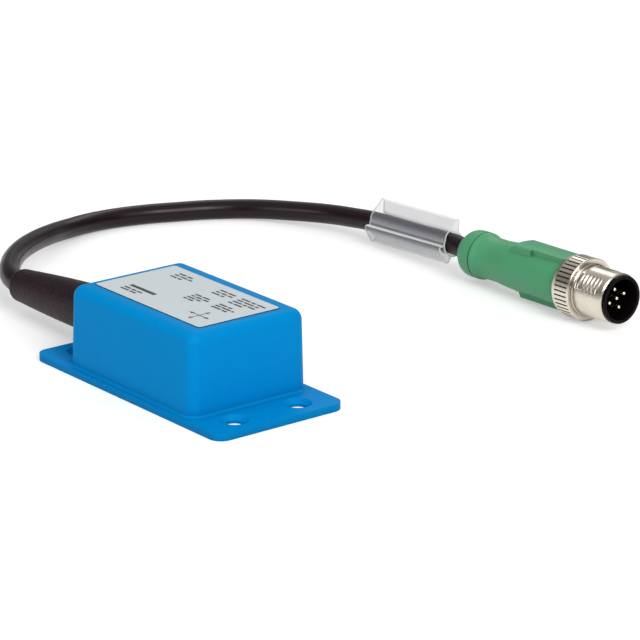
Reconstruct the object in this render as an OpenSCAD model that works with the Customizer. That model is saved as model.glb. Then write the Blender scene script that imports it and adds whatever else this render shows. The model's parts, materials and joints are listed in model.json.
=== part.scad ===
// Inclination sensor: a moulded housing on a drilled flange plate, a short lead
// with a strain relief and a clear marker sleeve, and a round screw plug.
// Millimetres. The origin is the middle of the housing's underside, +X runs along
// the housing away from the lead, +Z is up, and everything lies on z = 0.

/* [Flange plate] */
// Length of the plate
plate_l = 67.6; // [62:0.2:80]
// Width of the plate
plate_w = 34.3; // [33:0.1:44]
// Thickness of the plate
plate_t = 1.65; // [1.4:0.05:2.5]
// Radius of the plate's corners
plate_r = 3; // [1:0.5:4]
// Distance between the holes along the plate
hole_pitch_x = 56; // [55.5:0.5:57.5]
// Distance between the holes across the plate
hole_pitch_y = 17; // [10:0.5:24]
// Diameter of the screw holes
hole_d = 4.3; // [3.2:0.1:4.5]
// Diameter of the countersinks at the surface
sink_d = 6.3; // [5.5:0.1:6.8]

/* [Housing] */
// Length of the raised housing at its foot
box_l = 45.6; // [44:0.2:47]
// Width of the raised housing at its foot
box_w = 31.6; // [30:0.2:32]
// Overall height of the housing
box_h = 20; // [19:0.5:24]
// Draft of the side walls in degrees
draft = 1.4; // [0.5:0.1:2]
// Radius of the upright corners at the foot
corner_r = 2.9; // [2:0.1:4]
// Radius of the edge round the top
edge_r = 2.6; // [1.6:0.1:3]
// Wall thickness
wall = 1.8; // [1.4:0.1:2.2]
// Size of the small fillet where the housing meets the plate
foot_fillet = 0.4; // [0.2:0.1:0.8]
// Diameter of the posts that carry the circuit board
post_d = 4; // [3:0.5:5]
// Length of those posts, from the roof down to the board
post_l = 5.6; // [5.2:0.1:6.5]
// Depth of the sealing resin
potting_h = 2.2; // [1.6:0.2:2.4]
// Recess of the resin behind the underside
potting_recess = 0.4; // [0.2:0.1:0.6]
// Length of the label
label_l = 38; // [30:0.5:38.5]
// Width of the label
label_w = 22; // [16:0.5:24]
// Thickness of the label
label_t = 0.15; // [0.1:0.05:0.3]

/* [Electronics] */
// Thickness of the circuit board
board_t = 1.6; // [1:0.2:2]
// Clearance between the circuit board and the walls beside it
board_gap = 1.25; // [0.8:0.05:2]
// Room left for the lead between the end wall and the circuit board
lead_room = 7.5; // [6.5:0.25:9]

/* [Lead] */
// Diameter of the cable
cable_d = 5; // [4:0.1:5.2]
// Diameter of one insulated core
core_d = 1.3; // [1:0.1:1.3]
// Diameter of the strain relief at the housing
boot_d = 11.5; // [10:0.1:12]
// Diameter of the strain relief near its tip
boot_tip_d = 7.8; // [7:0.1:8.6]
// Diameter of the strain relief's neck in the wall
boot_neck_d = 8.6; // [7.6:0.1:9]
// Length of the clear marker sleeve
sleeve_l = 28; // [20:1:29]
// How far the marker sleeve's upper pocket reaches above the middle of the cable
sleeve_rise = 6.1; // [5.4:0.1:7]
// How far its label pocket reaches below the middle of the cable
sleeve_drop = 4.5; // [4:0.1:4.9]
// How far its label pocket reaches to the near side
sleeve_reach = 4.75; // [4.5:0.05:5.5]
// Wall of the marker sleeve
sleeve_wall = 0.45; // [0.3:0.05:0.5]

/* [Plug] */
// Length of the plug from its front rim to its rear face
plug_l = 52.5; // [52:0.1:54]
// Diameter of the threaded barrel
barrel_d = 12; // [11.8:0.05:12.1]
// Length of the barrel in front of the knurled ring
barrel_l = 9.5; // [8.5:0.1:10.5]
// Wall of the barrel
screw_wall = 0.95; // [0.8:0.05:1.2]
// Diameter of the knurled ring
ring_d = 14.8; // [14:0.1:14.8]
// Length of the knurled ring
ring_l = 6; // [5.5:0.1:7]
// Number of slots in the knurl
knurl_count = 42; // [30:2:48]
// Depth of the knurl's slots
knurl_depth = 0.35; // [0.2:0.05:0.45]
// Width of the knurl's slots
knurl_w = 0.4; // [0.3:0.05:0.6]
// Diameter of the grip's waist
waist_d = 10.3; // [9.8:0.05:11]
// Diameter of the grip at its front end
grip_d = 11.9; // [11.4:0.1:12.6]
// Diameter across the collar at the cable end
collar_d = 11.5; // [11:0.1:11.8]
// Diameter over the raised grip pads
pad_d = 14.1; // [13.6:0.1:14.4]
// Distance from the middle of the grip to the flat of its upper pad
pad_flat = 6.45; // [6.2:0.05:6.6]
// Width of the raised grip pads
pad_w = 5.8; // [5:0.2:6.6]
// Wall of the contact carrier round its front socket
carrier_wall = 0.6; // [0.5:0.05:0.8]
// Diameter of the circle of outer contacts
contact_circle = 4.8; // [4.4:0.1:5.2]
// Diameter of one contact pin
contact_d = 1; // [0.8:0.05:1.1]

/* [Fits] */
// Radial clearance of the turning coupling screw
run_gap = 0.05; // [0.03:0.01:0.08]
// Clearance round pieces that are seated in others
seat_gap = 0.05; // [0.02:0.01:0.1]
// End play of the coupling screw
end_gap = 0.1; // [0.05:0.05:0.3]
// Clearance between the cable and the marker sleeve
sleeve_gap = 0.3; // [0.15:0.05:0.4]

/* [Hidden] */
$fn = 64;

// Small overlap for clean cuts
eps = 0.01;

// Lead, laid by hand: out of the housing along the strain relief, down to the
// table, round in one bend, and up a little into the marker sleeve and the plug
lead_start = [-18, 0, 8.9];
boot_tip = [-64, 0, 6.2];
sleeve_from = [-56, 100, 5.2];
sleeve_to = [-26, 100, 6.6];
plug_rear = [-20, 99.5, 6.6];
plug_tilt = 1.3;
plug_depth = 6;
// The marker sleeve sits this far past the middle of its stretch, towards the plug
sleeve_shift = 0.7;
route = [lead_start, [-52, 0, 6.9], boot_tip, [-71.5, 2, 6.2], [-79, 7, 6.1], [-84, 11.5, 5.9],
  [-88.5, 16.5, 5.6], [-93, 22.5, 5.1], [-97, 29, 4.5], [-102.5, 39.5, 3.2], [-105, 51, 2.6],
  [-103.5, 61.5, 2.5], [-100, 71, 2.5], [-95.5, 80.5, 2.5], [-89, 88, 2.8], [-80, 93.5, 3.4],
  [-70.5, 97.5, 4.1], [-63, 99, 4.7], sleeve_from, [-41, 100, 5.9], sleeve_to, plug_rear,
  [-14, 99.5, 6.74]];
cable_sides = 12;

// Draft taken up over the height of the box
box_in = (box_h - plate_t) * tan(draft);
roof_z = box_h - wall;
roof_in = (roof_z - plate_t) * tan(draft);
// The cavity starts below the underside, so that it cuts clean through it
cavity_from = -1;
cavity_edge_r = edge_r - wall / 2;
potting_top = potting_recess + potting_h;
potting_in = roof_in * (potting_top - cavity_from) / (roof_z - cavity_edge_r - cavity_from);

// The circuit board fills the cavity but for its clearances, and hangs from the posts
board_l = box_l - 2 * wall - lead_room - board_gap;
board_w = box_w - 2 * wall - 2 * board_gap;
board_x = (lead_room - board_gap) / 2;
board_z = roof_z - post_l;
board_under = board_z - board_t;
board_end = board_x - board_l / 2;

boot_tilt = atan2(lead_start[2] - boot_tip[2], lead_start[0] - boot_tip[0]);
boot_len = norm(lead_start - boot_tip);
// Places along the strain relief, measured from its tip
wall_x = box_l / 2 - 0.2;
boot_out = norm([-wall_x - boot_tip[0], 0, (wall_x + boot_tip[0]) * tan(boot_tilt)]);
boot_flange_t = 1.4;
boot_flange_d = boot_neck_d + 2.8;
boot_inside = boot_out + wall + 0.45;

// Places along the plug, measured back from its front rim
lip_t = 0.75;
screw_front = lip_t + end_gap;
ring_front = screw_front + barrel_l;
ring_rear = ring_front + ring_l;
grip_front = ring_rear + end_gap;
carrier_rear = grip_front + 5.2;
contact_tip = 1.4;
cavity_floor = 9;
pad_top_start = plug_l - 17.8;
pad_low_start = plug_l - 20.7;
pad_block_l = 7.5;
pad_block_w = pad_w + 1.2;
pad_low_flat = pad_flat - 0.35;
pad_top_slope = 1.7;
pad_low_slope = 0.9;
waist_from = plug_l - 12.6;
waist_to = plug_l - 7.6;
groove_at = plug_l - 5.7;

// Radii inside the plug, from the barrel inwards
screw_bore_r = barrel_d / 2 - screw_wall;
carrier_r = screw_bore_r - run_gap;
cavity_r = carrier_r - carrier_wall;
stub_r = carrier_r - 0.8;
contact_turn = 18;
key_turn = 153;

// Basic forms

module rounded_slab(l, w, r, z0, z1) {
  translate([0, 0, z0]) linear_extrude(z1 - z0) {
    square([l - 2 * r, w], center = true);
    square([l, w - 2 * r], center = true);
    for (sx = [-1, 1]) for (sy = [-1, 1])
      translate([sx * (l / 2 - r), sy * (w / 2 - r)]) circle(r);
  }
}

// Box with drafted walls, upright round corners and a rounded top edge
module drafted_box(l, w, r, top_in, top_r, z0, z1) {
  hull() {
    for (sx = [-1, 1]) for (sy = [-1, 1]) {
      translate([sx * (l / 2 - r), sy * (w / 2 - r), z0]) cylinder(r = r, h = eps, $fn = 40);
      translate([sx * (l / 2 - top_in - top_r), sy * (w / 2 - top_in - top_r), z1 - top_r])
        sphere(top_r, $fn = 40);
    }
  }
}

// Turned form along X from [x, radius] points
module turned(pts) {
  rotate([0, 90, 0]) rotate_extrude() polygon([for (p = pts) [p[1], p[0]]]);
}

// Points on an arc about a centre, in [x, radius] terms
function arc(cx, cr, r, a0, a1, n = 8) =
  [for (i = [0 : n]) let (a = a0 + (a1 - a0) * i / n) [cx + r * cos(a), cr + r * sin(a)]];

// Round bar from one point to another
module bar(p, q, d) {
  v = q - p;
  translate(p) rotate([0, acos(v[2] / norm(v)), atan2(v[1], v[0])]) cylinder(d = d, h = norm(v), $fn = 32);
}

// Frame of the plug: local +X runs out of its front rim
module in_plug() {
  translate(plug_rear) rotate([0, -plug_tilt, 0]) translate([plug_l, 0, 0]) children();
}

// Frame of the strain relief: local +X runs from its tip into the housing
module in_boot() {
  translate(boot_tip) rotate([0, -boot_tilt, 0]) children();
}

// Places of the contacts and of the cores behind them: four round one
function four_round_one(i, r) = i == 4 ? [0, 0] :
  r * [cos(contact_turn + 90 * i), sin(contact_turn + 90 * i)];
function contact_at(i) = four_round_one(i, contact_circle / 2);
function core_at(i) = four_round_one(i, core_d + 0.25);

// Housing

module housing_outer() {
  rounded_slab(plate_l, plate_w, plate_r, 0, plate_t);
  drafted_box(box_l, box_w, corner_r, box_in, edge_r, plate_t / 2, box_h);
  hull() {
    rounded_slab(box_l + 2 * foot_fillet, box_w + 2 * foot_fillet, corner_r + foot_fillet,
      plate_t - eps, plate_t, $fn = 40);
    rounded_slab(box_l - foot_fillet * tan(draft), box_w - foot_fillet * tan(draft), corner_r,
      plate_t, plate_t + foot_fillet, $fn = 40);
  }
}

// Cutter for one screw hole with its countersink
module screw_hole() {
  sink_h = (sink_d - hole_d) / 2;
  translate([0, 0, -1]) cylinder(d = hole_d, h = plate_t + 2);
  translate([0, 0, plate_t - sink_h]) cylinder(d1 = hole_d, d2 = sink_d + 2 * eps, h = sink_h + eps);
}

module housing() {
  color("#057cc2") {
    difference() {
      housing_outer();
      drafted_box(box_l - 2 * wall, box_w - 2 * wall, corner_r - wall / 2, roof_in, cavity_edge_r,
        cavity_from, roof_z);
      for (sx = [-1, 1]) for (sy = [-1, 1])
        translate([sx * hole_pitch_x / 2, sy * hole_pitch_y / 2, 0]) screw_hole();
      in_boot() translate([boot_out - wall, 0, 0]) rotate([0, 90, 0])
        cylinder(d = boot_neck_d + 2 * seat_gap, h = 4 * wall);
    }
    for (p = post_places) translate([p[0], p[1], board_z])
      cylinder(d = post_d, h = roof_z - board_z + eps, $fn = 40);
  }
}

post_places = [for (sx = [-1, 1]) for (sy = [-1, 1])
  [board_x + sx * (board_l / 2 - post_d / 2 - 0.6), sy * (board_w / 2 - post_d / 2 - 0.6)]];

module potting() {
  side_in = 2 * (wall + potting_in + seat_gap);
  color("#2b2e33")
    rounded_slab(box_l - side_in, box_w - side_in, corner_r - wall / 2, potting_recess, potting_top);
}

module label() {
  color("#cdd0d0") rounded_slab(label_l, label_w, 0.8, box_h, box_h + label_t);
}

// Electronics

module circuit_board() {
  color("#1f6b3a") translate([board_x, 0, 0]) rounded_slab(board_l, board_w, 1, board_under, board_z);
}

// Chip package with a row of legs along each long side
module chip(x, y, l, w, h, legs) {
  pitch = l / legs;
  translate([x, y, board_z]) {
    translate([-l / 2, -w / 2, 0.1]) cube([l, w, h]);
    for (i = [0 : legs - 1]) for (s = [-1, 1])
      translate([-l / 2 + pitch * (i + 0.5) - 0.2, s * (w / 2 + 0.35) - 0.45, 0]) cube([0.4, 0.9, 0.3]);
  }
}

module tilt_chip() {
  color("#26282b") chip(board_x, 0, 7.5, 6.4, 1.9, 6);
}

module microcontroller() {
  color("#26282b") chip(board_x + 9.6, 0, 6.6, 6.6, 1.2, 8);
}

module line_driver() {
  color("#26282b") chip(board_x - 9.2, 6, 5, 4, 1.4, 4);
}

module voltage_regulator() {
  color("#26282b") translate([board_x - 9.2, -3.4, board_z]) {
    translate([-3.2, -1.75, 0]) cube([6.4, 3.5, 1.7]);
    for (i = [-1, 0, 1]) translate([i * 2.3 - 0.35, -3.2, 0]) cube([0.7, 1.5, 0.3]);
  }
}

module storage_capacitor() {
  can_d = 5;
  color("#c9ccd0") translate([board_x - 3, -8.4, board_z]) {
    translate([-can_d / 2 - 0.15, -can_d / 2 - 0.15, 0]) cube([can_d + 0.3, can_d + 0.3, 0.8]);
    cylinder(d = can_d, h = 5);
  }
}

module filter_choke() {
  color("#3a3c40") translate([board_x + 3.6, -8.6, board_z]) {
    cylinder(d = 4.6, h = 0.7);
    cylinder(d = 3, h = 3.2);
    translate([0, 0, 2.5]) cylinder(d = 4.6, h = 0.7);
  }
}

module crystal() {
  color("#c9ccd0") translate([board_x + 9.6, 6.6, board_z]) linear_extrude(1.3) {
    square([2.6, 2.4], center = true);
    for (s = [-1, 1]) translate([s * 1.3, 0]) circle(1.2);
  }
}

module suppressor_diode() {
  color("#26282b") translate([board_x + 9.6, -6.1, board_z]) {
    translate([-2.2, -1.8, 0.1]) cube([4.4, 3.6, 2.1]);
    for (s = [-1, 1]) translate([s * 2.45 - 0.35, -0.9, 0]) cube([0.7, 1.8, 0.5]);
  }
}

module small_capacitors() {
  color("#b59a78") for (p = [[-2.5, 6], [0.5, 6], [3.5, 6], [3.4, 9.2], [-2.6, 9.2]])
    translate([board_x + p[0] - 1, p[1] - 0.6, board_z]) cube([2, 1.2, 1.1]);
}

terminal_d = 1.4;
terminal_l = 3.8;
terminal_pitch = 2.5;
terminal_x = board_end + 2.6;

module wire_terminals() {
  color("#c8b46a") for (i = [-2 : 2])
    translate([terminal_x, i * terminal_pitch, board_under - terminal_l])
      cylinder(d = terminal_d, h = terminal_l, $fn = 32);
}

// Order of the cores across the row of terminals
terminal_row = [2, -1, -2, 1, 0];
// Clear of the sheath's end, and of the metal each core is joined to
core_from_sheath = 0.6;
core_to_metal = 0.15;

module core_leads() {
  end_x = terminal_x - terminal_d / 2 - core_to_metal;
  color("#8a5a3a") for (i = [0 : 4]) bar(
    [lead_start[0] + core_from_sheath, core_at(i)[0], lead_start[2] + core_at(i)[1]],
    [end_x, terminal_row[i] * terminal_pitch, board_under - terminal_l / 2], core_d);
}

// Lead

// Outline of the strain relief as [distance from its tip, radius]
function boot_outline() = concat(
  [[0, 0]],
  arc(0.9, boot_tip_d / 2 - 0.9, 0.9, 180, 100, 5),
  [for (t = [0 : 0.1 : 1]) [2.6 + (boot_out - 2.6) * t,
    boot_tip_d / 2 + 0.1 + (boot_d - boot_tip_d - 0.2) / 2 * (1 - pow(1 - t, 1.8))]]);

module cable_boot() {
  color("#33292b") difference() {
    union() {
      difference() {
        in_boot() turned(concat(boot_outline(),
          [[boot_out + wall, boot_d / 2], [boot_out + wall, 0]]));
        drafted_box(box_l, box_w, corner_r, box_in, edge_r, plate_t / 2, box_h);
      }
      in_boot() turned([[boot_out - 4, 0], [boot_out - 4, boot_neck_d / 2], [boot_inside, boot_neck_d / 2],
        [boot_inside, boot_flange_d / 2], [boot_inside + boot_flange_t, boot_flange_d / 2],
        [boot_inside + boot_flange_t, 0]]);
    }
    in_boot() translate([-1, 0, 0]) rotate([0, 90, 0])
      cylinder(d = cable_d + 2 * seat_gap, h = boot_len + 2);
  }
}

// Ring of points square to the route at point i
function unit(v) = v / norm(v);
function heading(i) = unit(route[min(i + 1, len(route) - 1)] - route[max(i - 1, 0)]);
function ring_points(i) = let (t = heading(i), side = unit(cross(t, [0, 0, 1])), up = cross(side, t))
  [for (k = [0 : cable_sides - 1]) let (a = 360 * k / cable_sides)
    route[i] + cable_d / 2 * (cos(a) * up + sin(a) * side)];

module cable() {
  n = cable_sides;
  m = len(route);
  pts = [for (i = [0 : m - 1]) each ring_points(i)];
  skin = [for (i = [0 : m - 2]) for (k = [0 : n - 1])
    each [[i * n + k, i * n + (k + 1) % n, (i + 1) * n + k],
      [i * n + (k + 1) % n, (i + 1) * n + (k + 1) % n, (i + 1) * n + k]]];
  caps = [[for (k = [n - 1 : -1 : 0]) k], [for (k = [0 : n - 1]) (m - 1) * n + k]];
  color("#2a2325") polyhedron(pts, concat(skin, caps));
}

// The marker sleeve's section about the middle of the cable: a ring round the cable, a
// pocket open to it above, and a label pocket beside and below it on the near side
cradle_r = cable_d / 2 + sleeve_gap;
fold_r = 0.8;
upper_back = [-0.6, 1.5];
upper_back_r = 2.3;
upper_fold = [1.15, sleeve_rise - fold_r];
label_back = [-0.9, -1.1];
label_back_r = 1.2;
label_side_fold = [fold_r - sleeve_reach, -0.5];
label_low_fold = [-2.2, fold_r - sleeve_drop];

module round_at(place, r) {
  translate(place) circle(r, $fn = 40);
}

module upper_pocket(inset) {
  hull() {
    round_at(upper_back, upper_back_r - inset);
    round_at(upper_fold, fold_r - inset);
  }
}

module label_pocket(inset) {
  hull() {
    round_at(label_back, label_back_r - inset);
    round_at(label_side_fold, fold_r - inset);
    round_at(label_low_fold, fold_r - inset);
  }
}

module marker_sleeve() {
  mid = (sleeve_from + sleeve_to) / 2;
  v = sleeve_to - sleeve_from;
  color("#d9dedd", 0.5) translate(mid) rotate([0, -atan2(v[2], v[0]), atan2(v[1], v[0])])
    rotate([90, 0, 90]) translate([0, 0, sleeve_shift - sleeve_l / 2]) linear_extrude(sleeve_l)
      difference() {
        union() {
          difference() {
            label_pocket(0);
            label_pocket(sleeve_wall);
          }
          round_at([0, 0], cradle_r + sleeve_wall);
          upper_pocket(0);
        }
        round_at([0, 0], cradle_r);
        upper_pocket(sleeve_wall);
      }
}

// Plug

// Outline of the moulded grip, from the front end back to the collar
function grip_outline() = concat(
  [[-grip_front, grip_d / 2], [-pad_low_start, grip_d / 2 - 0.2],
    [-waist_from + 2.5, waist_d / 2 + 0.25], [-waist_from, waist_d / 2], [-waist_to, waist_d / 2],
    [-groove_at + 0.9, collar_d / 2 - 0.1], [-groove_at + 0.25, collar_d / 2],
    [-groove_at + 0.1, collar_d / 2 - 0.3], [-groove_at - 0.1, collar_d / 2 - 0.3],
    [-groove_at - 0.25, collar_d / 2]],
  arc(-plug_l + 3.4, collar_d / 2 - 3.4, 3.4, 90, 135, 6),
  arc(-plug_l + 1.2, collar_d / 2 - 2.35, 1.2, 135, 180, 4));

// Raised grip pad on one side, flat on top, with its end sloped up from the grip
module grip_pad(start, flat, slope, block) {
  intersection() {
    turned([[-grip_front, 0], [-grip_front, pad_d / 2], [-start + slope, pad_d / 2],
      [-start, grip_d / 2 - 0.4], [-start, 0]]);
    union() {
      translate([-start - 1, -pad_w / 2, 0]) cube([start - grip_front + 1, pad_w, flat]);
      if (block > 0) translate([-start - 1, -pad_block_w / 2, 0]) cube([block + 1, pad_block_w, flat]);
    }
  }
}

module plug_body() {
  chamber_d = 7;
  chamber_rear = -plug_l + plug_depth + 0.1;
  color("#5fa57d") in_plug() difference() {
    union() {
      turned(concat(grip_outline(), [[-plug_l, 0], [-grip_front, 0]]));
      grip_pad(pad_top_start, pad_flat, pad_top_slope, pad_block_l);
      rotate([180, 0, 0]) grip_pad(pad_low_start, pad_low_flat, pad_low_slope, 0);
    }
    translate([-plug_l - 1, 0, 0]) rotate([0, 90, 0])
      cylinder(d = cable_d + 2 * seat_gap, h = plug_depth + 2);
    translate([chamber_rear, 0, 0]) rotate([0, 90, 0])
      cylinder(d = chamber_d, h = -carrier_rear - chamber_rear);
    translate([-carrier_rear - eps, 0, 0]) rotate([0, 90, 0])
      cylinder(r = stub_r + seat_gap, h = carrier_rear - grip_front + 1);
  }
}

cup_l = 2.4;

module plug_leads() {
  color("#8a5a3a") in_plug() for (i = [0 : 4]) bar(
    [-plug_l + plug_depth + core_from_sheath, core_at(i)[0], core_at(i)[1]],
    [-carrier_rear - cup_l - core_to_metal, contact_at(i)[0], contact_at(i)[1]], core_d);
}

module contact_carrier() {
  lip_r = barrel_d / 2 - 0.35;
  mouth_r = carrier_r - 0.15;
  mouth_l = 1.6;
  key_w = 1.4;
  key_h = 0.7;
  color("#1d1c1f") in_plug() {
    difference() {
      turned([[0, 0], [0, lip_r], [-lip_t, lip_r], [-lip_t, carrier_r], [-grip_front, carrier_r],
        [-grip_front, stub_r], [-carrier_rear, stub_r], [-carrier_rear, 0]]);
      turned([[1, 0], [1, mouth_r], [0, mouth_r], [-mouth_l, cavity_r],
        [-cavity_floor, cavity_r], [-cavity_floor, 0]]);
      for (i = [0 : 4]) translate([-carrier_rear - 1, contact_at(i)[0], contact_at(i)[1]])
        rotate([0, 90, 0])
          cylinder(d = contact_d + 2 * seat_gap, h = carrier_rear - cavity_floor + 2, $fn = 32);
    }
    rotate([key_turn, 0, 0]) translate([-cavity_floor - 0.5, cavity_r - key_h, -key_w / 2])
      cube([cavity_floor + 0.5 - mouth_l, key_h + 0.2, key_w]);
  }
}

module contact_pin(i) {
  color("#d8c27a") in_plug() translate([0, contact_at(i)[0], contact_at(i)[1]])
    turned(concat([[-contact_tip, 0]], arc(-contact_tip - contact_d / 2, 0, contact_d / 2, 0, 90, 6),
      [[-carrier_rear - seat_gap, contact_d / 2], [-carrier_rear - seat_gap, contact_d / 2 + 0.15],
        [-carrier_rear - cup_l, contact_d / 2 + 0.15], [-carrier_rear - cup_l, 0]]), $fn = 32);
}

module coupling_screw() {
  land = 0.5;
  band = 1.3;
  slot_from = 1.5;
  color("#bdb6a6") in_plug() difference() {
    turned([[-screw_front, screw_bore_r], [-screw_front, barrel_d / 2 - 0.3],
      [-screw_front - 0.3, barrel_d / 2],
      [-ring_front + 0.25, barrel_d / 2], [-ring_front, barrel_d / 2 + 0.25],
      [-ring_front, ring_d / 2 - 0.15], [-ring_front - 0.15, ring_d / 2],
      [-ring_rear + band, ring_d / 2], [-ring_rear + 0.25, ring_d / 2 - 0.3],
      [-ring_rear, ring_d / 2 - 0.55], [-ring_rear, screw_bore_r]]);
    for (i = [0 : knurl_count - 1]) rotate([i * 360 / knurl_count, 0, 0])
      translate([-ring_rear + slot_from, -knurl_w / 2, ring_d / 2 - knurl_depth])
        cube([ring_l - land - slot_from, knurl_w, 1]);
  }
}

housing();
potting();
label();
circuit_board();
tilt_chip();
microcontroller();
line_driver();
voltage_regulator();
storage_capacitor();
filter_choke();
crystal();
suppressor_diode();
small_capacitors();
wire_terminals();
core_leads();
cable_boot();
cable();
marker_sleeve();
plug_body();
plug_leads();
contact_carrier();
contact_pin(0);  // contact_pin_1
contact_pin(1);  // contact_pin_2
contact_pin(2);  // contact_pin_3
contact_pin(3);  // contact_pin_4
contact_pin(4);  // contact_pin_5
coupling_screw();
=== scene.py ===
# %% [markdown]
# # Inclination sensor
# The real object is a potted blue plastic box on a flanged plate. A short lead leaves it through a
# rubber boot, carries a clear sleeve for a marker, and ends in a round plug whose metal ring turns.
# The CAD pack already holds every solid at its true place, in metres. It is loaded first, so that
# nothing has to be fitted later: each piece made below goes where its solid lies.

# %% Load the frame
import json
import math

import bmesh
import bpy
from mathutils import Matrix, Vector
from mathutils.geometry import interpolate_bezier


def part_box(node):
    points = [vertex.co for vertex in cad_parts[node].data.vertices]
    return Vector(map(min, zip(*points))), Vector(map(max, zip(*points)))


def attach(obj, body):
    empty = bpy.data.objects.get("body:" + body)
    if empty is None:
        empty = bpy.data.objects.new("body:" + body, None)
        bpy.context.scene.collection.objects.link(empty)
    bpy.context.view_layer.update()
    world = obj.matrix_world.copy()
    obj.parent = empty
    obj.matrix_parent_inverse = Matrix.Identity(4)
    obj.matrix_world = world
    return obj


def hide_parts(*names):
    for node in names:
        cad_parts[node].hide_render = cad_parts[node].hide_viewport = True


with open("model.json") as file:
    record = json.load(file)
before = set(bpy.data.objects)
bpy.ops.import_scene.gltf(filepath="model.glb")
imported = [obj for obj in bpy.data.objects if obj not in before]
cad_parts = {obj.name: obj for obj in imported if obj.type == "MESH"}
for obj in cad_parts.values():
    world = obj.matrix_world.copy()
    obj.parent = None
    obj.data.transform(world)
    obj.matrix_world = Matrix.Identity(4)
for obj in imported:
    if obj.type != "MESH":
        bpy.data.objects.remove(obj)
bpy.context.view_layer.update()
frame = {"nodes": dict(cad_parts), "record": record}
MM = 0.001
SCENE = bpy.context.scene


# %% Helpers for new objects
def link(name, data):
    """New object holding data, in the scene."""
    made = bpy.data.objects.new(name, data)
    SCENE.collection.objects.link(made)
    return made


def mesh_of(form, name):
    """Mesh of what was built in form, which is then let go."""
    mesh = bpy.data.meshes.new(name)
    form.to_mesh(mesh)
    form.free()
    return mesh


print("CAD nodes:", len(frame["nodes"]))

# %% [markdown]
# A small product is photographed from far away with a long lens, which keeps its parallel edges
# nearly parallel. A camera can be aimed at a target by a constraint. Here its direction and its
# slight roll are known angles, so its three axes go straight into its matrix, and nothing about
# it can drift when the object changes.

# %% Camera
AZIMUTH, ELEVATION, ROLL = (math.radians(a) for a in (50.884, 18.454, 0.526))
CAMERA_PLACE = (0.53799, -0.40027, 0.23839)
SENSOR_WIDTH, FOCAL_LENGTH = 36, 183.51  # in mm
NEAR, FAR = 0.01, 20
back = Vector((math.sin(AZIMUTH) * math.cos(ELEVATION),
               -math.cos(AZIMUTH) * math.cos(ELEVATION), math.sin(ELEVATION)))
level = Vector((math.cos(AZIMUTH), math.sin(AZIMUTH), 0))
right = (math.cos(ROLL) * level + math.sin(ROLL) * back.cross(level)).normalized()
camera = link("camera", bpy.data.cameras.new("camera"))
camera.data.sensor_width, camera.data.lens = SENSOR_WIDTH, FOCAL_LENGTH
camera.data.clip_start, camera.data.clip_end = NEAR, FAR
camera.matrix_world = Matrix.Translation(CAMERA_PLACE) @ Matrix(
    (right, back.cross(right), back)).transposed().to_4x4()
SCENE.camera = camera
print("lens in mm:", camera.data.lens)

# %% [markdown]
# The lead is round cable, 5 mm thick, that comes out of the boot, sinks to the table, turns back in
# one open loop and rises into the plug. A curve with a round bevel would show the same shape. A
# mesh tube is used instead, because its faces are final and its bounds exact. Its route repeats
# the chosen points of the cable's solid, joined by Bezier pieces that share their directions, so
# that it bends as evenly as real cable.

# %% Route of the lead, in mm
EXIT = (-22.6, 0, 8.63)
SLEEVE_FROM, SLEEVE_TO = Vector((-56, 100, 5.2)) * MM, Vector((-26, 100, 6.6)) * MM
PLUG_REAR = Vector((-20, 99.5, 6.6)) * MM
ROUTE = [EXIT, (-52, 0, 6.9), (-64, 0, 6.2), (-71.5, 2, 6.2), (-79, 7, 6.1), (-84, 11.5, 5.9),
         (-88.5, 16.5, 5.6), (-93, 22.5, 5.1), (-97, 29, 4.5), (-102.5, 39.5, 3.2), (-105, 51, 2.6),
         (-103.5, 61.5, 2.5), (-100, 71, 2.5), (-95.5, 80.5, 2.5), (-89, 88, 2.8), (-80, 93.5, 3.4),
         (-70.5, 97.5, 4.1), (-63, 99, 4.7), (-56, 100, 5.2), (-41, 100, 5.9), (-26, 100, 6.6),
         (-20, 99.5, 6.6), (-14, 99.5, 6.74)]
CABLE_D = 5 * MM
print("points on the route:", len(ROUTE))

# %% Smooth path of the lead
HANDLE = 0.37  # of the distance between two points, for a curve that is round
STEPS = 10  # from one point to the next


def smooth_path(points):
    """Points of a curve through the given ones, whose direction turns evenly at each."""
    points = [Vector(p) * MM for p in points]
    pull = []
    for i, here in enumerate(points):
        ahead = points[min(i + 1, len(points) - 1)] - here
        behind = here - points[max(i - 1, 0)]
        pull.append((ahead.normalized() + behind.normalized()).normalized())
    path = []
    for (p, u), (q, v) in zip(zip(points, pull), zip(points[1:], pull[1:])):
        reach = (q - p).length * HANDLE
        path += interpolate_bezier(p, p + u * reach, q - v * reach, q, STEPS + 1)[:-1]
    path.append(points[-1])
    return [Vector((p.x, p.y, max(p.z, CABLE_D / 2))) for p in path]


lead_path = smooth_path(ROUTE)

# %% Tube of the lead
SIDES = 28


def tube(name, path, radius):
    """Closed mesh tube along a path, with its sides carried along without twist."""
    form = bmesh.new()
    side = Vector((0, 1, 0))
    rings = []
    for i, here in enumerate(path):
        along = (path[min(i + 1, len(path) - 1)] - path[max(i - 1, 0)]).normalized()
        side = (side - along * side.dot(along)).normalized()
        up = along.cross(side)
        spokes = [math.cos(a) * side + math.sin(a) * up
                  for a in (2 * math.pi * k / SIDES for k in range(SIDES))]
        rings.append([form.verts.new(here + radius * spoke) for spoke in spokes])
    for ring, after in zip(rings, rings[1:]):
        for k in range(SIDES):
            n = (k + 1) % SIDES
            form.faces.new((ring[k], ring[n], after[n], after[k]))
    form.faces.new(rings[0][::-1])
    form.faces.new(rings[-1])
    bmesh.ops.recalc_face_normals(form, faces=form.faces)
    mesh = mesh_of(form, name)
    mesh.shade_smooth()
    return link(name, mesh)


lead = tube("lead", lead_path, CABLE_D / 2)
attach(lead, "sensor")
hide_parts("cable")
print("lead faces:", len(lead.data.polygons))

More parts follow.
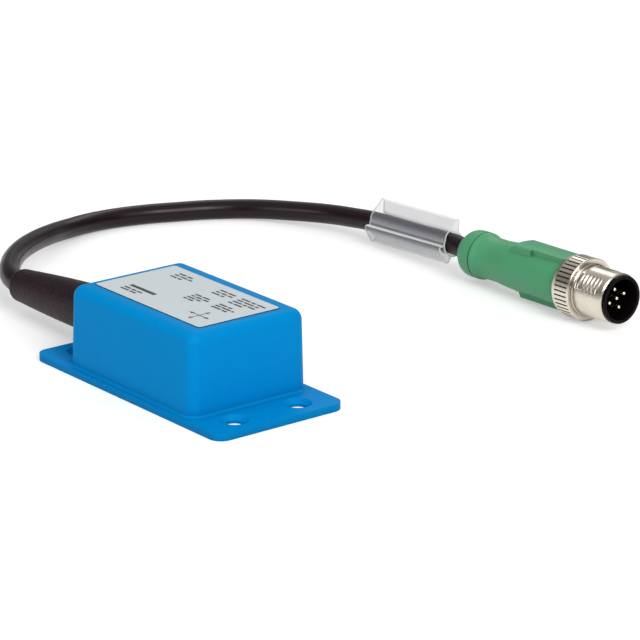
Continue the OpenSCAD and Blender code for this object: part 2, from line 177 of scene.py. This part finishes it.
# %% [markdown]
# The housing, the boot, the sleeve and the plug's grip have their right shape in CAD, with their
# fillets and tapers. Their meshes come as loose triangles with fixed normals, which would catch
# the light unevenly. Building them again would only risk a misfit, so each is copied, welded, and
# shaded smoothly up to a chosen angle, past which an edge stays crisp.


# %% Welded copies of four CAD nodes
WELD = 2e-6  # in metres
CRISP = 28  # in degrees


def smooth(mesh, angle):
    """Smooth shading, with edges sharper than angle in degrees kept sharp."""
    mesh.shade_smooth()
    mesh.set_sharp_from_angle(angle=math.radians(angle))


def dressed(node):
    """Welded and smoothly shaded copy of a CAD node, which stands for it."""
    mesh = frame["nodes"][node].data.copy()
    form = bmesh.new()
    form.from_mesh(mesh)
    bmesh.ops.remove_doubles(form, verts=form.verts, dist=WELD)
    form.to_mesh(mesh)
    form.free()
    if "custom_normal" in mesh.attributes:
        mesh.attributes.remove(mesh.attributes["custom_normal"])
    smooth(mesh, CRISP)
    piece = link(node + "_shell", mesh)
    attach(piece, "sensor")
    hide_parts(node)
    return piece


housing = dressed("housing")
boot = dressed("cable_boot")
sleeve = dressed("marker_sleeve")
grip = dressed("plug_body")
print("welded:", {o.name: len(o.data.vertices) for o in (housing, boot, sleeve, grip)})

# %% [markdown]
# The coupling screw is the plug's turned and plated ring. Its thread is cut away in four places
# round it, so that the mating half pushes on and a short turn locks it, and fine slots round its
# collar give grip. Booleans could cut all this, but they leave long thin faces. One surface of
# revolution, whose radius dips where a groove or a slot is, gives even faces and clean shading.

# %% Outside of the coupling screw, in mm as (place behind the plug's front rim, radius)
OUTSIDE = [(0.85, 5.05), (0.85, 5.7), (1.15, 6), (10.1, 6), (10.35, 6.25), (10.35, 7.25), (10.5, 7.4),
           (10.85, 7.4), (10.86, 7.4), (14.79, 7.4), (14.8, 7.4), (15.3, 7.36), (16, 7.1), (16.3, 6.85),
           (16.35, 6.7), (16.35, 5.05)]
BARREL_FRONT, BARREL_REAR, BARREL_RINGS = 1.15, 10.1, 64


def stations():
    """Profile points, with more of them along the threaded barrel."""
    for (s0, r0), (s1, r1) in zip(OUTSIDE, OUTSIDE[1:]):
        count = BARREL_RINGS if (s0, s1) == (BARREL_FRONT, BARREL_REAR) else 1
        for i in range(count):
            yield s0 + (s1 - s0) * i / count, r0 + (r1 - r0) * i / count
    yield OUTSIDE[-1]


print("rings of the screw:", len(list(stations())))

# %% Cuts in the coupling screw, in mm, degrees and turns of the thread
AROUND = 504  # points round each ring
KNURL = 42  # slots
SLOT_FRONT, SLOT_REAR, SLOT_DEPTH = 10.855, 14.795, 0.35
SECTORS = [(55, 95), (123, 166), (235, 275), (303, 346)]
FIRST_RIDGE, PITCH, RIDGES, THREAD_DEPTH = 3.2, 1.15, 6, 0.42
SECTOR_FADE, END_FADE, RUN_IN, RUN_OUT = 5, 0.25, 0.7, 0.3
GROOVE_SHAPE = 0.8  # under 1 it makes the grooves wider than the ridges


def ease(x):
    """Smooth step from 0 to 1."""
    x = min(max(x, 0), 1)
    return x * x * (3 - 2 * x)


def thread_cut(station, angle):
    """Depth of the thread's grooves there: none between the sectors or past the end ridges."""
    along = (station - FIRST_RIDGE) / PITCH
    if along < -RUN_IN or along > RIDGES - RUN_OUT:
        return 0
    groove = 0.5 - 0.5 * math.cos(2 * math.pi * along)
    inside = max(ease((angle - a) / SECTOR_FADE) * ease((b - angle) / SECTOR_FADE) for a, b in SECTORS)
    ends = ease((along + RUN_IN) / END_FADE) * ease((RIDGES - RUN_OUT - along) / END_FADE)
    return THREAD_DEPTH * groove ** GROOVE_SHAPE * inside * ends


def knurl_cut(station, step):
    """Depth of the slot there: slots are closed at both ends, before the smooth rear band."""
    pitch = AROUND // KNURL
    off = abs((step + pitch // 2) % pitch - pitch // 2)
    return SLOT_DEPTH if SLOT_FRONT < station < SLOT_REAR and off <= 1 else 0


print("points between two slots:", AROUND // KNURL)

# %% Mesh of the coupling screw
FIRST_POINT = 90  # angle in degrees at which each ring starts
CRISP_METAL = 35


def screw_mesh():
    """The screw about local X, closed through its bore; its slots get the second material."""
    form = bmesh.new()
    rings, cuts = [], []
    for station, radius in stations():
        ring, cut = [], []
        on_barrel = BARREL_FRONT <= station <= BARREL_REAR
        for step in range(AROUND):
            angle = FIRST_POINT + 360 * step / AROUND
            depth = thread_cut(station, angle % 360) if on_barrel else knurl_cut(station, step)
            r, a = (radius - depth) * MM, math.radians(angle)
            ring.append(form.verts.new((-station * MM, r * math.cos(a), r * math.sin(a))))
            cut.append(depth > 0 and not on_barrel)
        rings.append(ring)
        cuts.append(cut)
    for i, ring in enumerate(rings):
        after = rings[(i + 1) % len(rings)]
        for k in range(AROUND):
            n = (k + 1) % AROUND
            face = form.faces.new((ring[k], ring[n], after[n], after[k]))
            face.material_index = int(cuts[i][k] or cuts[i][n])
    bmesh.ops.recalc_face_normals(form, faces=form.faces)
    mesh = mesh_of(form, "screw")
    smooth(mesh, CRISP_METAL)
    return mesh


screw = link("screw", screw_mesh())
print("screw faces:", len(screw.data.polygons))

# %% Place of the coupling screw: its +X runs out of the middle of the plug's front rim
PLUG_L = 52.5 * MM
PLUG_TILT = math.radians(1.3)
screw.matrix_world = (Matrix.Translation(PLUG_REAR) @ Matrix.Rotation(-PLUG_TILT, 4, "Y")
                      @ Matrix.Translation((PLUG_L, 0, 0)))
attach(screw, "coupling")
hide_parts("coupling_screw")
print("front rim of the screw:", [round(c, 4) for c in screw.matrix_world.translation])

# %% [markdown]
# The label on the roof is a thin pale film with round corners and a dark edge, printed with small
# rows. A texture could carry the print. Here each dash is a flat face just above the film, which
# stays sharp at any distance and says nothing: it only has the rhythm of lines on such a label.

# %% Label film over its dark back
LABEL_LOW, LABEL_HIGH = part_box("label")
LABEL_TOP = LABEL_HIGH.z - 0.01 * MM  # below the marks
BORDER = 0.13 * MM  # of the dark back, seen round the film
BACK_DROP = 0.03 * MM
BACK_CORNER, FILM_CORNER = 0.8 * MM, 0.7 * MM
CORNER_STEPS = 8


def rounded(half_x, half_y, radius):
    """Corner points of a rectangle with round corners, anticlockwise."""
    points = []
    for turn, (sx, sy) in enumerate([(1, 1), (-1, 1), (-1, -1), (1, -1)]):
        for i in range(CORNER_STEPS + 1):
            a = math.radians(90 * (turn + i / CORNER_STEPS))
            points.append((sx * (half_x - radius) + radius * math.cos(a),
                           sy * (half_y - radius) + radius * math.sin(a)))
    return points


def slab(name, outline, low, high):
    """Plate with that outline between two heights; its sides get the second material."""
    form = bmesh.new()
    lower = [form.verts.new((x, y, low)) for x, y in outline]
    upper = [form.verts.new((x, y, high)) for x, y in outline]
    form.faces.new(upper)
    form.faces.new(lower[::-1])
    for i in range(len(outline)):
        n = (i + 1) % len(outline)
        form.faces.new((lower[i], lower[n], upper[n], upper[i])).material_index = 1
    return link(name, mesh_of(form, name))


label_back = slab("label_back", rounded(LABEL_HIGH.x, LABEL_HIGH.y, BACK_CORNER), LABEL_LOW.z,
                  LABEL_TOP - BACK_DROP)
label_film = slab("label_film", rounded(LABEL_HIGH.x - BORDER, LABEL_HIGH.y - BORDER, FILM_CORNER),
                  LABEL_LOW.z, LABEL_TOP)
for piece in (label_back, label_film):
    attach(piece, "sensor")
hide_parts("label")
print("label size in mm:", [round(2 * c / MM, 1) for c in LABEL_HIGH.xy])

# %% Marks on the label, in mm: rows of dashes as (x, y, lengths), one bar, two crossed arrows
ROWS = [(9, 7.8, (3, 1.6, 2.9)), (9, 6.6, (2, 3.4, 1.2)), (9, 5.4, (3.2, 1.2, 2.4)), (9, 4.2, (1.5, 2.8)),
        (1.5, 7.8, (2.4, 2.6)), (1.5, 6.6, (1.4, 2, 1.6)), (1.5, 5.4, (2.8, 1.2)), (9, 1.8, (2.6, 1.4)),
        (9, 0.7, (1.8, 3, 0.8)), (9, -0.4, (3.2, 1.8)), (0.5, 1.8, (2.2, 2.3)), (0.5, 0.7, (1.2, 2, 1.9)),
        (0.5, -0.4, (2.6, 1.6)), (0.5, -1.5, (1.2, 1.8)), (-13.5, -7, (2.2, 1.6, 1.8)),
        (-13.5, -8.1, (3, 2.2)), (-13.5, 7.8, (2.6, 1.9)), (-13.5, 6.6, (1.6, 2.4, 1.5)),
        (-13.5, 5.4, (2.2, 1.4))]
DASH_HEIGHT, DASH_GAP = 0.6, 0.4
BAR = (-13.5, -5.6, 9, 1.1)  # x, y, length and height
CROSS, ARROWS = (12.5, -6), [(3.4, 0), (-3.4, 0), (0, 3.2), (0, -3.2)]
ARROW_WIDTH, HEAD_LENGTH, HEAD_HALF_WIDTH = 0.3, 1.3, 0.52


def mark(form, corners):
    """One flat mark on the label from its corners."""
    form.faces.new([form.verts.new((x * MM, y * MM, LABEL_HIGH.z)) for x, y in corners])


def dash(form, x, y, length, height):
    """Rectangular mark."""
    mark(form, [(x, y), (x + length, y), (x + length, y + height), (x, y + height)])


def arrow(form, start, reach):
    """Straight arrow from start."""
    start, end = Vector(start), Vector(start) + Vector(reach)
    along = (end - start).normalized()
    side = Vector((-along.y, along.x))
    neck, half = end - along * HEAD_LENGTH, side * ARROW_WIDTH / 2
    mark(form, [start - half, neck - half, neck + half, start + half])
    mark(form, [neck - side * HEAD_HALF_WIDTH, end, neck + side * HEAD_HALF_WIDTH])


print("rows on the label:", len(ROWS))

# %% Print on the label
marks = bmesh.new()
for x, y, lengths in ROWS:
    for length in lengths:
        dash(marks, x, y, length, DASH_HEIGHT)
        x += length + DASH_GAP
dash(marks, *BAR)
for reach in ARROWS:
    arrow(marks, CROSS, reach)
label_marks = link("label_marks", mesh_of(marks, "label_marks"))
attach(label_marks, "sensor")
print("marks:", len(label_marks.data.polygons))

# %% [markdown]
# Most finishes here share two effects. Moulded plastic and rubber have a fine grain, faint clouds,
# an uneven gloss, and painted shade in their creases. Turned and plated metal has fine rings round
# its axis, faint smears, and painted shade in its grooves. Each effect is one node group with named
# inputs, built once, and every material sets its own values. Nodes copied into each material would
# drift apart.


# %% Helpers for nodes
def tone(r, g, b):
    """Linear colour from 0-255 values as seen on a screen."""
    return tuple(((c / 255 + 0.055) / 1.055) ** 2.4 if c > 10 else c / 255 / 12.92
                 for c in (r, g, b)) + (1,)


def add(tree, kind, **values):
    """New node with its settings and its unlinked sockets set."""
    node = tree.nodes.new("ShaderNode" + kind)
    for key, value in values.items():
        key = key.replace("_", " ") if key[0].isupper() else key
        if key in node.inputs:
            node.inputs[key].default_value = value
        else:
            setattr(node, key, value)
    return node


def maths(tree, operation, *values):
    """Output of a Math node fed by sockets or plain numbers."""
    node = add(tree, "Math", operation=operation)
    for socket, value in zip(node.inputs, values):
        if isinstance(value, bpy.types.NodeSocket):
            tree.links.new(value, socket)
        else:
            socket.default_value = value
    return node.outputs["Value"]


print("housing blue, linear:", [round(c, 3) for c in tone(0, 137, 206)])

# %% What both finishes share
SHADE_SAMPLES, EDGE_SAMPLES = 8, 6


def group(name, inputs):
    """Node group with those inputs, the three surface outputs, and its two end nodes."""
    made = bpy.data.node_groups.new(name, "ShaderNodeTree")
    for socket, value in inputs.items():
        kind = "NodeSocketColor" if isinstance(value, tuple) else "NodeSocketFloat"
        made.interface.new_socket(socket, in_out="INPUT", socket_type=kind).default_value = value
    for socket, kind in (("Color", "Color"), ("Roughness", "Float"), ("Normal", "Vector")):
        made.interface.new_socket(socket, in_out="OUTPUT", socket_type="NodeSocket" + kind)
    return made, made.nodes.new("NodeGroupInput").outputs, made.nodes.new("NodeGroupOutput").inputs


def crevices(tree, distance):
    """0 on open faces and up to 1 where faces closer than distance shut the light out."""
    nearby = add(tree, "AmbientOcclusion", Distance=distance, samples=SHADE_SAMPLES)
    return maths(tree, "SUBTRACT", 1.0, nearby.outputs["AO"])


def hand_out(tree, given, out, light, rough, height, depth):
    """The given colour times light, the roughness, and a bump over softened edges, as outputs."""
    colour = add(tree, "HueSaturation")
    tree.links.new(light, colour.inputs["Value"])
    tree.links.new(given["Color"], colour.inputs["Color"])
    edge = add(tree, "Bevel", samples=EDGE_SAMPLES)
    tree.links.new(given["Edge"], edge.inputs["Radius"])
    bump = add(tree, "Bump", Strength=1.0)
    tree.links.new(depth, bump.inputs["Distance"])
    tree.links.new(height, bump.inputs["Height"])
    tree.links.new(edge.outputs["Normal"], bump.inputs["Normal"])
    tree.links.new(colour.outputs["Color"], out["Color"])
    tree.links.new(rough, out["Roughness"])
    tree.links.new(bump.outputs["Normal"], out["Normal"])


print("samples for shade and edge:", SHADE_SAMPLES, EDGE_SAMPLES)

# %% Moulded finish
GRAIN_TURN = (0.5, 0.7, 0.3)  # in radians, so that no row of the noise lies along a flat face
CLOUD_SCALE = 90
CREASE_REACH = 2.5 * MM


def moulded_group():
    """Moulded plastic or rubber: faint clouds, fine speckle, painted shade in creases, uneven gloss, grain.
    """
    tree, given, out = group("moulded", {
        "Color": (0.5, 0.5, 0.5, 1), "Clouds": 0.04, "Roughness": 0.5, "Uneven": 0.06, "Grain Scale": 2500.0,
        "Grain Depth": 1e-5, "Speckle": 0.0, "Edge": 2e-4, "Creases": 0.5})
    place = add(tree, "Mapping", Rotation=GRAIN_TURN)
    clouds = add(tree, "TexNoise", Scale=CLOUD_SCALE, Detail=3)
    grain = add(tree, "TexNoise", Detail=2, Roughness=0.6)
    tree.links.new(add(tree, "TexCoord").outputs["Object"], place.inputs["Vector"])
    tree.links.new(place.outputs["Vector"], clouds.inputs["Vector"])
    tree.links.new(place.outputs["Vector"], grain.inputs["Vector"])
    tree.links.new(given["Grain Scale"], grain.inputs["Scale"])
    cloud = maths(tree, "SUBTRACT", clouds.outputs["Fac"], 0.5)
    speck = maths(tree, "SUBTRACT", grain.outputs["Fac"], 0.5)
    light = maths(tree, "MULTIPLY_ADD", cloud, given["Clouds"], 1.0)
    light = maths(tree, "MULTIPLY_ADD", speck, given["Speckle"], light)
    # Painted shade: the colour darkens where the faces around shut out the light.
    shade = maths(tree, "MULTIPLY", crevices(tree, CREASE_REACH), given["Creases"])
    light = maths(tree, "SUBTRACT", light, shade)
    rough = maths(tree, "MULTIPLY_ADD", cloud, given["Uneven"], given["Roughness"])
    hand_out(tree, given, out, light, rough, grain.outputs["Fac"], given["Grain Depth"])
    return tree


MOULDED = moulded_group()
print("moulded nodes:", len(MOULDED.nodes))

# %% Turned finish
RING_STRETCH = (1, 0.02, 0.02)  # noise drawn out across X becomes rings round it
SMEAR_SCALE, SMEAR_LIGHT = 260, 0.16
GROOVE_REACH = 1.2 * MM


def turned_group():
    """Plated and turned metal: rings across the object's own X axis, smears, painted shade in grooves."""
    tree, given, out = group("turned", {
        "Color": (0.7, 0.7, 0.7, 1), "Roughness": 0.25, "Smears": 0.12, "Rings": 2600.0, "Ring Depth": 3e-6,
        "Edge": 1e-4, "Grooves": 0.0})
    place = add(tree, "TexCoord").outputs["Object"]
    drawn_out = add(tree, "Mapping", Scale=RING_STRETCH)
    rings = add(tree, "TexNoise", Detail=2)
    smears = add(tree, "TexNoise", Scale=SMEAR_SCALE, Detail=4, Roughness=0.6)
    tree.links.new(place, drawn_out.inputs["Vector"])
    tree.links.new(drawn_out.outputs["Vector"], rings.inputs["Vector"])
    tree.links.new(given["Rings"], rings.inputs["Scale"])
    tree.links.new(place, smears.inputs["Vector"])
    smear = maths(tree, "SUBTRACT", smears.outputs["Fac"], 0.5)
    light = maths(tree, "MULTIPLY_ADD", smear, SMEAR_LIGHT, 1.0)
    # Painted shade: the colour darkens in grooves where the faces around shut out the light.
    shade = maths(tree, "MULTIPLY", crevices(tree, GROOVE_REACH), given["Grooves"])
    light = maths(tree, "MAXIMUM", maths(tree, "SUBTRACT", light, shade), 0.0)
    rough = maths(tree, "MULTIPLY_ADD", smear, given["Smears"], given["Roughness"])
    hand_out(tree, given, out, light, rough, rings.outputs["Fac"], given["Ring Depth"])
    return tree


TURNED = turned_group()
print("turned nodes:", len(TURNED.nodes))


# %% A material from a finish
def material(name, finish, metallic=0.0, gloss=0.5, **values):
    """Material whose colour, roughness and normal come from a shared group."""
    made = bpy.data.materials.new(name)
    made.use_nodes = True
    nodes = made.node_tree
    shader = nodes.nodes["Principled BSDF"]
    shader.inputs["Metallic"].default_value = metallic
    shader.inputs["Specular IOR Level"].default_value = gloss
    source = nodes.nodes.new("ShaderNodeGroup")
    source.node_tree = finish
    for key, value in values.items():
        source.inputs[key.replace("_", " ")].default_value = value
    nodes.links.new(source.outputs["Color"], shader.inputs["Base Color"])
    nodes.links.new(source.outputs["Roughness"], shader.inputs["Roughness"])
    nodes.links.new(source.outputs["Normal"], shader.inputs["Normal"])
    return made


print("finishes:", MOULDED.name, TURNED.name)

# %% [markdown]
# The housing is saturated blue plastic with a fine spark-eroded grain and hardly any shine. The
# boot is grainier black rubber, the cable's sheath is smoother and catches a soft streak of
# light, and the grip is satin green. A low specular level keeps the blue and the blacks deep,
# where the usual level would lay a grey veil over them. The real colours lean to brown in the
# blacks, so none of them is neutral.

# %% Plastics, rubber and print
# Painted shade darkens each colour in its creases, such as at the housing's foot on its plate and between
# the grip's pad and the ring.
BLUE = material("blue_plastic", MOULDED, gloss=0.03, Color=tone(0, 137, 206), Roughness=0.4, Clouds=0.05,
                Grain_Scale=2600, Grain_Depth=8e-6, Speckle=0.15, Edge=0.3 * MM, Creases=0.5)
RESIN = material("potting_resin", MOULDED, Color=tone(38, 40, 44), Roughness=0.3, Grain_Scale=300,
                 Grain_Depth=2e-5, Clouds=0.1)
FILM = material("pale_film", MOULDED, gloss=0.3, Color=tone(204, 213, 216), Roughness=0.55, Clouds=0.02,
                Grain_Scale=5000, Grain_Depth=2e-6, Edge=0.02 * MM, Creases=0.0)
FILM_EDGE = material("film_edge", MOULDED, gloss=0.2, Color=tone(20, 40, 60), Roughness=0.6, Edge=0.02 * MM)
INK = material("dark_ink", MOULDED, Color=tone(48, 50, 54), Roughness=0.5, Edge=0.02 * MM, Creases=0.0)
SHEATH = material("black_sheath", MOULDED, gloss=0.26, Color=tone(24, 5, 15), Roughness=0.33, Clouds=0.25,
                  Uneven=0.2, Grain_Scale=2200, Grain_Depth=1.5e-5, Speckle=0.6, Edge=0.02 * MM, Creases=0.3)
RUBBER = material("black_rubber", MOULDED, gloss=0.18, Color=tone(35, 17, 25), Roughness=0.5, Clouds=0.4,
                  Uneven=0.15, Grain_Scale=1500, Grain_Depth=1.5e-4, Speckle=3.5, Edge=0.2 * MM)
GREEN = material("green_plastic", MOULDED, gloss=0.3, Color=tone(78, 158, 112), Roughness=0.42, Clouds=0.06,
                 Grain_Scale=2600, Grain_Depth=1e-5, Speckle=0.1, Edge=0.2 * MM, Creases=0.8)
BLACK = material("black_plastic", MOULDED, gloss=0.06, Color=tone(12, 6, 10), Roughness=0.3,
                 Grain_Scale=3000, Grain_Depth=6e-6, Edge=0.1 * MM)
print("plastics:", [m.name for m in (BLUE, RESIN, FILM, FILM_EDGE, INK, SHEATH, RUBBER, GREEN, BLACK)])

# %% [markdown]
# The screw is nickel on brass: warm grey and satin, with painted shade where light can't reach
# between the ridges. Its slots are too narrow to show a reflection, so their shade is painted in a
# dull dark material of their own. The contacts are gilt. The small parts on the board are hidden by
# the housing and the potting, but they are there when the shell is taken off, and each has its usual
# finish.

# %% Metals and parts on the board
# Painted shade darkens the nickel in its thread grooves and slots.
NICKEL = material("nickel_plate", TURNED, metallic=1.0, Color=tone(222, 214, 200), Roughness=0.28, Edge=0,
                  Grooves=1.5)
# Painted shade: the knurl's slots get a dull dark colour in place of the nickel.
SLOT = material("slot_shade", TURNED, gloss=0.1, Color=tone(40, 32, 28), Roughness=0.7, Edge=0.02 * MM)
GOLD = material("gold_plate", TURNED, metallic=1.0, Color=tone(248, 236, 206), Roughness=0.25)
BRASS = material("brass", TURNED, metallic=1.0, Color=tone(214, 186, 110), Roughness=0.3)
TIN = material("tinned_metal", TURNED, metallic=1.0, Color=tone(214, 216, 220), Roughness=0.3)
BOARD = material("green_board", MOULDED, Color=tone(28, 98, 56), Roughness=0.35)
CHIP = material("chip_plastic", MOULDED, Color=tone(34, 34, 36), Roughness=0.6, Grain_Depth=2e-5)
FERRITE = material("grey_ferrite", MOULDED, Color=tone(66, 66, 70), Roughness=0.7, Grain_Depth=3e-5)
CERAMIC = material("tan_ceramic", MOULDED, Color=tone(178, 152, 120), Roughness=0.5)
CORES = material("brown_core", MOULDED, Color=tone(136, 90, 58), Roughness=0.5)
print("materials so far:", len(bpy.data.materials))

# %% [markdown]
# The marker sleeve is a clear plastic profile, drawn through a die, with a ring round the cable, a
# pocket above and one beside it. True refraction needs many samples and turns noisy in such thin
# walls. A veil does better: the plastic is nearly transparent where it is faced, thickens towards
# its outline, and carries painted bands at fixed heights: painted reflections where the curved walls
# catch light, and painted shade where the cable darkens the pocket below it. Its fold carries a
# painted highlight, and its cut ends are paler and more opaque.

# %% Clear plastic of the sleeve
# Painted bands of shade and reflection as (height over the middle of the cable in mm, grey, opacity)
SHADE_AND_REFLECTION_BANDS = [(-4.5, 215, 0.22), (-2.4, 208, 0.38), (-1.4, 195, 0.5), (-0.4, 140, 0.55), (-0.2, 160, 0.36),
           (0.4, 160, 0.32), (1, 195, 0.5), (1.6, 175, 0.42), (2.3, 150, 0.3), (3, 150, 0.16),
           (3.5, 190, 0.17), (6.5, 202, 0.19)]
CUT_END_BANDS = [(-4.5, 240, 0.8), (6.5, 240, 0.8)]
FOLD_HIGHLIGHT_BANDS = [(-4.5, 250, 0.75), (6.5, 250, 0.75)]
CLEAR_OUTLINE, PALE_OUTLINE = 0.4, 0.9  # opacity where a wall is seen edge on
sleeve_axis = (SLEEVE_TO - SLEEVE_FROM).normalized()
sleeve_up = (Vector((0, 0, 1)) - sleeve_axis * sleeve_axis.z).normalized()
print("sleeve slope in degrees:", round(math.degrees(math.asin(sleeve_axis.z)), 2))


# %% Material of the sleeve
def fill_ramp(node, stops):
    """Give a colour ramp its (position, colour) stops."""
    elements = node.color_ramp.elements
    while len(elements) < len(stops):
        elements.new(0.5)
    for stop, (place, colour) in zip(elements, stops):
        stop.position, stop.color = place, colour


def band_tone(grey, veil):
    """Colour of a painted band of shade or reflection, bluer where it is darker, with its opacity as alpha.
    """
    return tone(grey, grey + 1, grey + (220 - grey) / 6)[:3] + (veil,)


def clear_material(name, outline_veil, painted_bands):
    """Clear plastic: a veil that thickens towards its outline, over painted bands of shade and reflection by
    height.
    """
    made = material(name, MOULDED, gloss=0.6, Roughness=0.15, Clouds=0.03, Grain_Scale=400, Grain_Depth=2e-6,
                    Edge=0.02 * MM, Creases=0.0)
    nodes = made.node_tree
    low, high = painted_bands[0][0], painted_bands[-1][0]
    height = add(nodes, "VectorMath", operation="DOT_PRODUCT")
    nodes.links.new(add(nodes, "TexCoord").outputs["Object"], height.inputs[0])
    height.inputs[1].default_value = sleeve_up
    middle = SLEEVE_FROM.dot(sleeve_up)
    part = add(nodes, "MapRange", From_Min=middle + low * MM, From_Max=middle + high * MM)
    nodes.links.new(height.outputs["Value"], part.inputs["Value"])
    # Painted shade and reflections: colour and opacity follow the height over the cable.
    ramp = add(nodes, "ValToRGB")
    fill_ramp(ramp, [((at - low) / (high - low), band_tone(grey, veil)) for at, grey, veil in painted_bands])
    nodes.links.new(part.outputs["Result"], ramp.inputs["Fac"])
    nodes.links.new(ramp.outputs["Color"], nodes.nodes["Group"].inputs["Color"])
    outline = maths(nodes, "MULTIPLY", add(nodes, "LayerWeight", Blend=0.3).outputs["Facing"], outline_veil)
    alpha = maths(nodes, "MAXIMUM", outline, ramp.outputs["Alpha"])
    nodes.links.new(alpha, nodes.nodes["Principled BSDF"].inputs["Alpha"])
    return made


CLEAR = clear_material("clear_profile", CLEAR_OUTLINE, SHADE_AND_REFLECTION_BANDS)
CUT_END = clear_material("clear_cut_end", PALE_OUTLINE, CUT_END_BANDS)
# The fold's pale veil is a painted highlight along the pinch beside the cable.
FOLD = clear_material("clear_fold_highlight", PALE_OUTLINE, FOLD_HIGHLIGHT_BANDS)
print("clear materials:", [m.name for m in (CLEAR, CUT_END, FOLD)])

# %% [markdown]
# The new pieces take their materials by name here, in one place, which makes a finish easy to
# swap. The CAD nodes that stay as they are, such as the insert, the contacts and the board, take
# theirs by the slot that the record gives them, so that none is forgotten.

# %% Materials on the pieces
LOOKS = [(housing, [BLUE]), (boot, [RUBBER]), (sleeve, [CLEAR, CUT_END, FOLD]), (grip, [GREEN]),
         (screw, [NICKEL, SLOT]), (label_film, [FILM, FILM_EDGE]), (label_back, [FILM_EDGE]),
         (label_marks, [INK]), (lead, [SHEATH])]
for piece, looks in LOOKS:
    piece.data.materials.clear()
    for look in looks:
        piece.data.materials.append(look)
print("pieces with their looks:", len(LOOKS))

# %% Paler faces of the sleeve: its cut ends, and its fold with a painted highlight
END_FACING = 0.9  # cosine to the sleeve's axis
FOLD_FROM, FOLD_ABOVE = 3.3 * MM, 0.1 * MM
near_side = sleeve_up.cross(sleeve_axis)
for face in sleeve.data.polygons:
    place = face.center - SLEEVE_FROM
    if abs(face.normal.dot(sleeve_axis)) > END_FACING:
        face.material_index = 1
    elif abs(place.dot(near_side)) > FOLD_FROM and place.dot(sleeve_up) > FOLD_ABOVE:
        face.material_index = 2
print("faces on the fold:", sum(face.material_index == 2 for face in sleeve.data.polygons))

# %% Materials on the CAD nodes that stay
BY_SLOT = {"resin": RESIN, "board_green": BOARD, "chip_black": CHIP, "metal_can": TIN, "ferrite": FERRITE,
           "ceramic_tan": CERAMIC, "terminal_brass": BRASS, "core_insulation": CORES,
           "insert_black": BLACK, "contact_gold": GOLD}
finished = 0
for part in frame["record"]["subparts"]:
    look = BY_SLOT.get(part["material_slot"])
    if look:
        node = frame["nodes"][part["node"]]
        node.data.materials.clear()
        node.data.materials.append(look)
        finished += 1
print("CAD nodes finished:", finished)

# %% [markdown]
# The boot, the sleeve and the whole plug lie on the lead. This cell only lists them.

# %% The pieces on the lead
on_lead = [boot, sleeve, grip, screw, "contact_carrier", "plug_leads"]
on_lead += [f"contact_pin_{i}" for i in range(1, 6)]
print("pieces on the lead:", len(on_lead))

# %% [markdown]
# The object stands on white paper in a studio. The floor is one large pale sheet that keeps the
# soft shadow. It could be lit until it turns white, but that would burn out the label too. It
# glows a little instead, only where the camera, a reflection or a clear wall looks at it, so it
# doesn't light the object: matt faces get nothing from the glow.

# %% Floor
FLOOR_HALF, FLOOR_GREY, FLOOR_GLOW, FLOOR_ROUGHNESS = 4, 0.72, 0.42, 0.9
corners = [(x * FLOOR_HALF, y * FLOOR_HALF, 0) for x, y in ((-1, -1), (1, -1), (1, 1), (-1, 1))]
floor_mesh = bpy.data.meshes.new("floor")
floor_mesh.from_pydata(corners, [], [(0, 1, 2, 3)])
floor = link("floor", floor_mesh)
paper = bpy.data.materials.new("paper")
paper.use_nodes = True
sheet = paper.node_tree.nodes["Principled BSDF"].inputs
sheet["Base Color"].default_value = (FLOOR_GREY, FLOOR_GREY, FLOOR_GREY, 1)
sheet["Roughness"].default_value = FLOOR_ROUGHNESS
sheet["Emission Color"].default_value = (1, 1, 1, 1)
rays = add(paper.node_tree, "LightPath").outputs
seen = maths(paper.node_tree, "MAXIMUM", rays["Is Camera Ray"], rays["Is Glossy Ray"])
seen = maths(paper.node_tree, "MAXIMUM", seen, rays["Is Transmission Ray"])
glow = maths(paper.node_tree, "MULTIPLY", seen, FLOOR_GLOW)
paper.node_tree.links.new(glow, sheet["Emission Strength"])
floor.data.materials.append(paper)
print("floor:", 2 * FLOOR_HALF, "m wide")

# %% [markdown]
# Metal shows what stands round it, so plain white surroundings make it flat. Here the world is
# pale at the horizon, like a studio's back wall, darker above it, and bright overhead. Three large
# softboxes give the forms their light: the key over the plug's end, a fill on the long side and a
# weak rim from behind.

# %% Softboxes, in metres and watts
AIM = Vector((0, 0.03, 0))


def softbox(name, place, width, height, power):
    """Rectangular studio light that faces the middle of the object."""
    lamp = bpy.data.lights.new(name, "AREA")
    lamp.shape = "RECTANGLE"
    lamp.size, lamp.size_y = width, height
    lamp.energy = power
    made = link(name, lamp)
    made.location = place
    made.rotation_euler = (Vector(place) - AIM).to_track_quat("Z", "Y").to_euler()


softbox("key", (1.05, -0.2, 0.85), 0.7, 0.6, 11)
softbox("fill", (-0.1, -1.2, 0.55), 0.8, 0.5, 4)
softbox("rim", (-0.7, 0.9, 0.8), 0.9, 0.4, 2.5)
print("lights:", len(bpy.data.lights))

# %% Bands of the surroundings, as (height, grey): 0 is the horizon and 1 is overhead
BANDS = [(0, 0.8), (0.06, 0.8), (0.14, 0.14), (0.45, 0.2), (0.9, 0.7)]
world = bpy.data.worlds.new("studio")
SCENE.world = world
world.use_nodes = True
sky = world.node_tree
sky.nodes.clear()
split, ramp = add(sky, "SeparateXYZ"), add(sky, "ValToRGB")
light, out = add(sky, "Background", Strength=1.0), add(sky, "OutputWorld")
fill_ramp(ramp, [(height, (grey, grey, grey, 1)) for height, grey in BANDS])
sky.links.new(add(sky, "TexCoord").outputs["Generated"], split.inputs[0])
sky.links.new(split.outputs["Z"], ramp.inputs["Fac"])
sky.links.new(ramp.outputs["Color"], light.inputs["Color"])
sky.links.new(light.outputs[0], out.inputs["Surface"])
SCENE.view_settings.view_transform = "Standard"
print("view:", SCENE.view_settings.view_transform)

# %% [markdown]
# Nothing made here stands proud of its solid, so the box of the finished model should be the same
# as that of the CAD model to a fraction of a millimetre. Last, the view layer is brought up to date.

# %% Bring the view layer up to date
bpy.context.view_layer.update()
